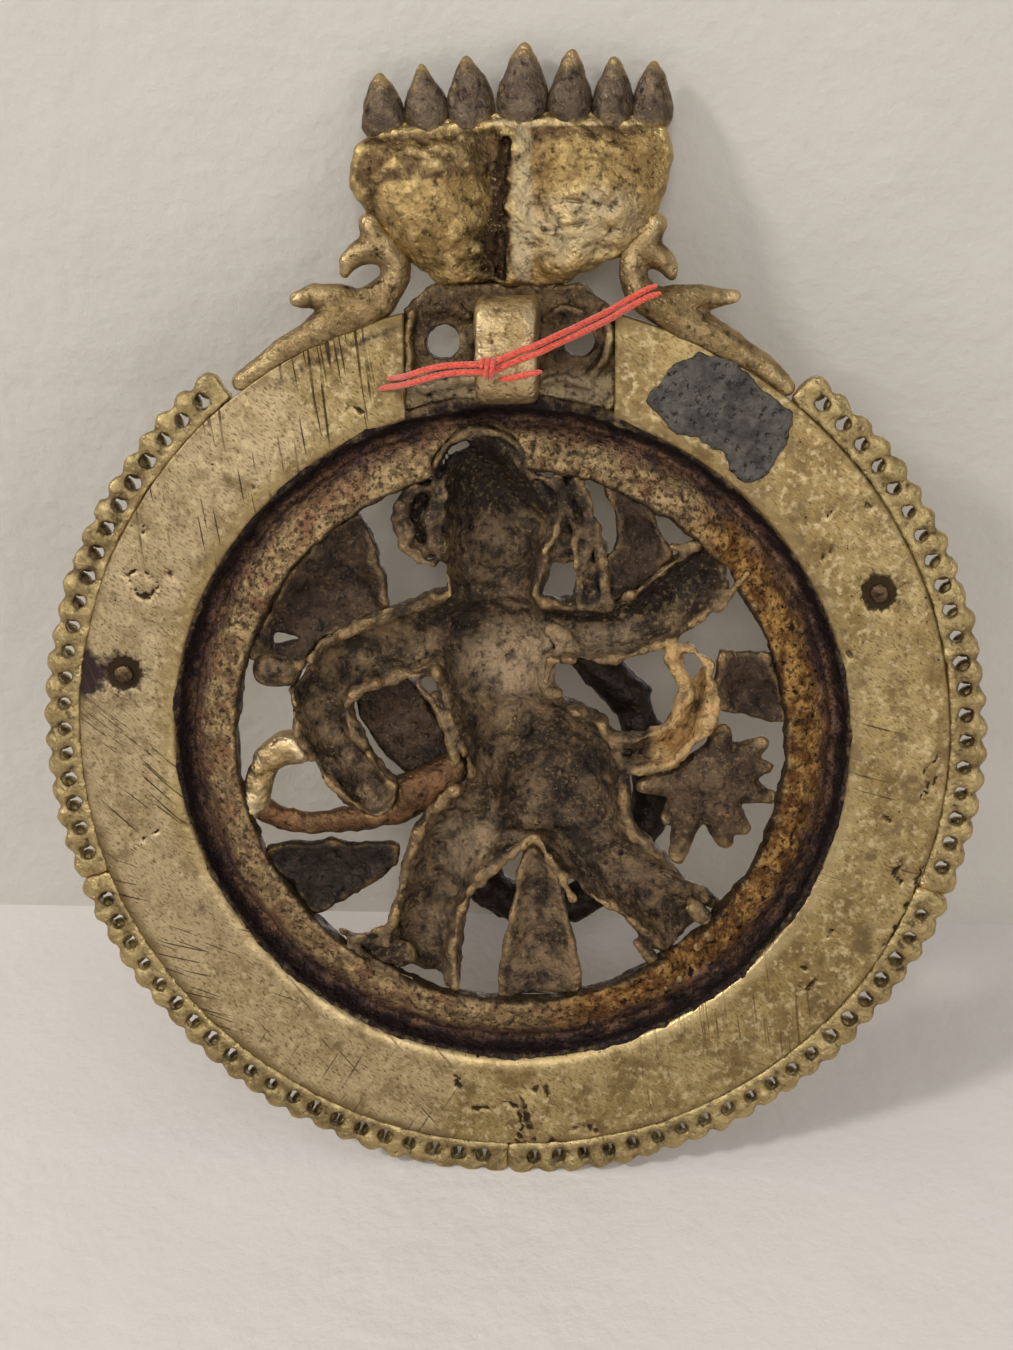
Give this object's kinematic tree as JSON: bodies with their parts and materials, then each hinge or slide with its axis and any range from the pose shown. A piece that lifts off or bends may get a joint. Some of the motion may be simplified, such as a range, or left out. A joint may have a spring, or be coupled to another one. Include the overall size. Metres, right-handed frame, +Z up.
{
  "type": "hanging openwork wall plaque",
  "caption": "Round cast brass openwork plaque: a hollow-backed dancing figure in a beaded ring under a cobra hood, hung by an eye on its back.",
  "frame": {"origin": "middle of the hanging eye's bore", "axes": "+X along the eye's bore, towards the right seen from the back; +Y from the hollow back to the relief front; +Z up"},
  "size_m": [0.1594, 0.0303, 0.1925],
  "materials": {
    "worn_brass": "filed and worn, satin",
    "dark_brass": "dark brown patina, satin",
    "cast_brown": "as cast, earthy brown, matte",
    "solder_grey": "matte grey solder, pitted",
    "coral_thread": "twisted cotton"
  },
  "bodies": {
    "root": {"ring_plate": "worn_brass", "inner_moulding": "dark_brass", "rim_upper_left": "worn_brass", "rim_lower_left": "worn_brass", "rim_lower_right": "worn_brass", "rim_upper_right": "worn_brass", "rim_beads": "worn_brass", "bridge": "dark_brass", "hanging_eye": "worn_brass", "hood_left": "worn_brass", "hood_right": "worn_brass", "hood_spine": "worn_brass", "cobra_head_1": "dark_brass", "cobra_head_2": "dark_brass", "cobra_head_3": "dark_brass", "cobra_head_4": "dark_brass", "cobra_head_5": "dark_brass", "cobra_head_6": "dark_brass", "cobra_head_7": "dark_brass", "bird_left": "worn_brass", "bird_right": "worn_brass", "torso": "cast_brown", "hips": "cast_brown", "head": "cast_brown", "side_bun": "cast_brown", "hair_lock": "cast_brown", "hair_fan": "cast_brown", "arm_left": "cast_brown", "front_arm_left": "cast_brown", "elbow_knob": "cast_brown", "arm_right": "cast_brown", "crescent_arm": "cast_brown", "leg_left": "cast_brown", "leg_right": "cast_brown", "centre_cloth": "cast_brown", "flame_leaf": "cast_brown", "scarf_loop": "worn_brass", "scarf_stem": "dark_brass", "cloth_left": "dark_brass", "ribbon_right": "cast_brown", "flower": "cast_brown", "garland": "dark_brass", "rivets": "dark_brass", "solder_patch": "solder_grey", "thread_upper": "coral_thread", "thread_lower": "coral_thread", "thread_knot": "coral_thread", "thread_tail": "coral_thread"}
  },
  "joints": []
}
